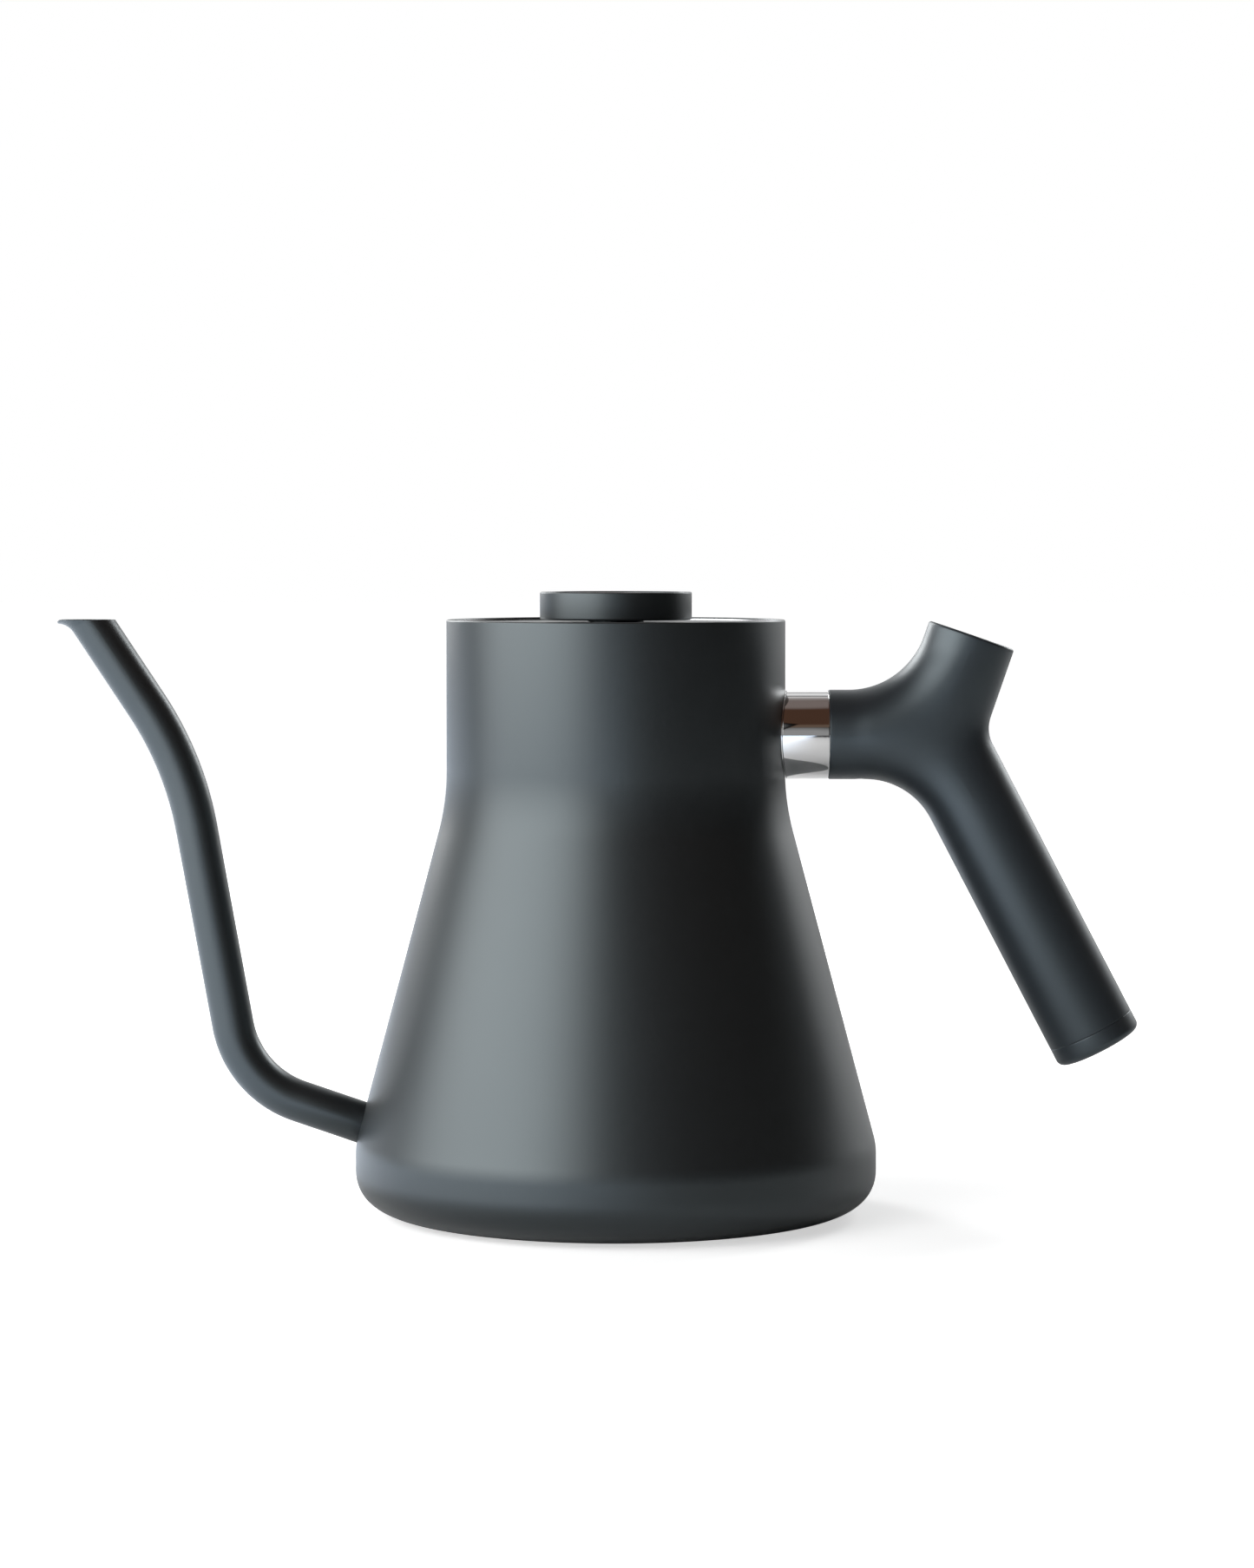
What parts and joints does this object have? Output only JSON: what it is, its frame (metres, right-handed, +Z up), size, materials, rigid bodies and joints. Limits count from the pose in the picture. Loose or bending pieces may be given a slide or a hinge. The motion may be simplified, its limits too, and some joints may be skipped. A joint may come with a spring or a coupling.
{
  "type": "electric kettle",
  "caption": "Cordless gooseneck electric kettle with a dial thermometer in its lift-off lid and a forked, counterweighted handle.",
  "frame": {"origin": "on the body's axis, at the table that the foot ring stands on, in the mouth of the connector socket", "axes": "+Z up along the body's axis, -X towards the spout, +X towards the handle"},
  "size_m": [0.2917, 0.141, 0.1685],
  "materials": {
    "body_coat": "satin powder coat, dark slate",
    "handle_plastic": "soft matt moulding, dark slate",
    "collar_chrome": "polished",
    "sheet_steel": "satin pressed steel",
    "turned_steel": "turned, fine lathe marks",
    "screw_steel": "plated",
    "bezel": "polished",
    "weight_steel": "raw steel",
    "moulded_black": "fine-textured moulding",
    "silicone": "matt silicone",
    "spreader_alloy": "pressed plate",
    "element_sheath": "heat-tinted sheath",
    "ceramic": "white ceramic and moulded insulation",
    "cutout_case": "brown moulding",
    "brass": "plain",
    "dial_paint": "matt print on a thin plate",
    "pointer_paint": "matt",
    "lens_glass": "clear"
  },
  "bodies": {
    "kettle": {"body_shell": "body_coat", "mouth_ring": "sheet_steel", "vessel_floor": "sheet_steel", "heat_spreader": "spreader_alloy", "heating_element": "element_sheath", "element_pins": "ceramic", "thermal_cutout": "cutout_case", "water_sensor": "brass", "control_block": "ceramic", "cover_posts": "turned_steel", "connector_body": "moulded_black", "connector_contacts": "brass", "bottom_cover": "moulded_black", "bottom_seal": "silicone", "cover_screws": "screw_steel", "foot_ring": "silicone", "spout_tube": "body_coat", "handle_spigot": "turned_steel", "handle_collar": "collar_chrome", "handle_shell": "handle_plastic", "handle_set_screw": "screw_steel", "counterweight": "weight_steel", "counterweight_pad": "silicone", "handle_end_cap": "handle_plastic", "end_cap_seal": "silicone"},
    "lid": {"lid_plate": "body_coat", "lid_cup": "sheet_steel", "lid_gasket": "silicone", "dial_case": "body_coat", "dial_face": "dial_paint", "dial_spacer": "moulded_black", "dial_lens": "lens_glass", "lens_ring": "bezel", "probe_tube": "turned_steel", "probe_plug": "turned_steel", "bimetal_coil": "brass", "spindle_bush": "brass", "stem_washer": "silicone", "stem_nut": "turned_steel"},
    "pointer": {"pointer": "pointer_paint", "spindle": "turned_steel"}
  },
  "joints": [
    {"name": "lid_lift", "type": "slide", "parent": "kettle", "child": "lid", "axis": [0, 0, 1], "range_m": [0, 0.11]},
    {"name": "pointer_turn", "type": "hinge", "parent": "lid", "child": "pointer", "pos_m": [0, 0, 0.165], "axis": [0, 0, -1], "range_deg": [0, 270]}
  ]
}
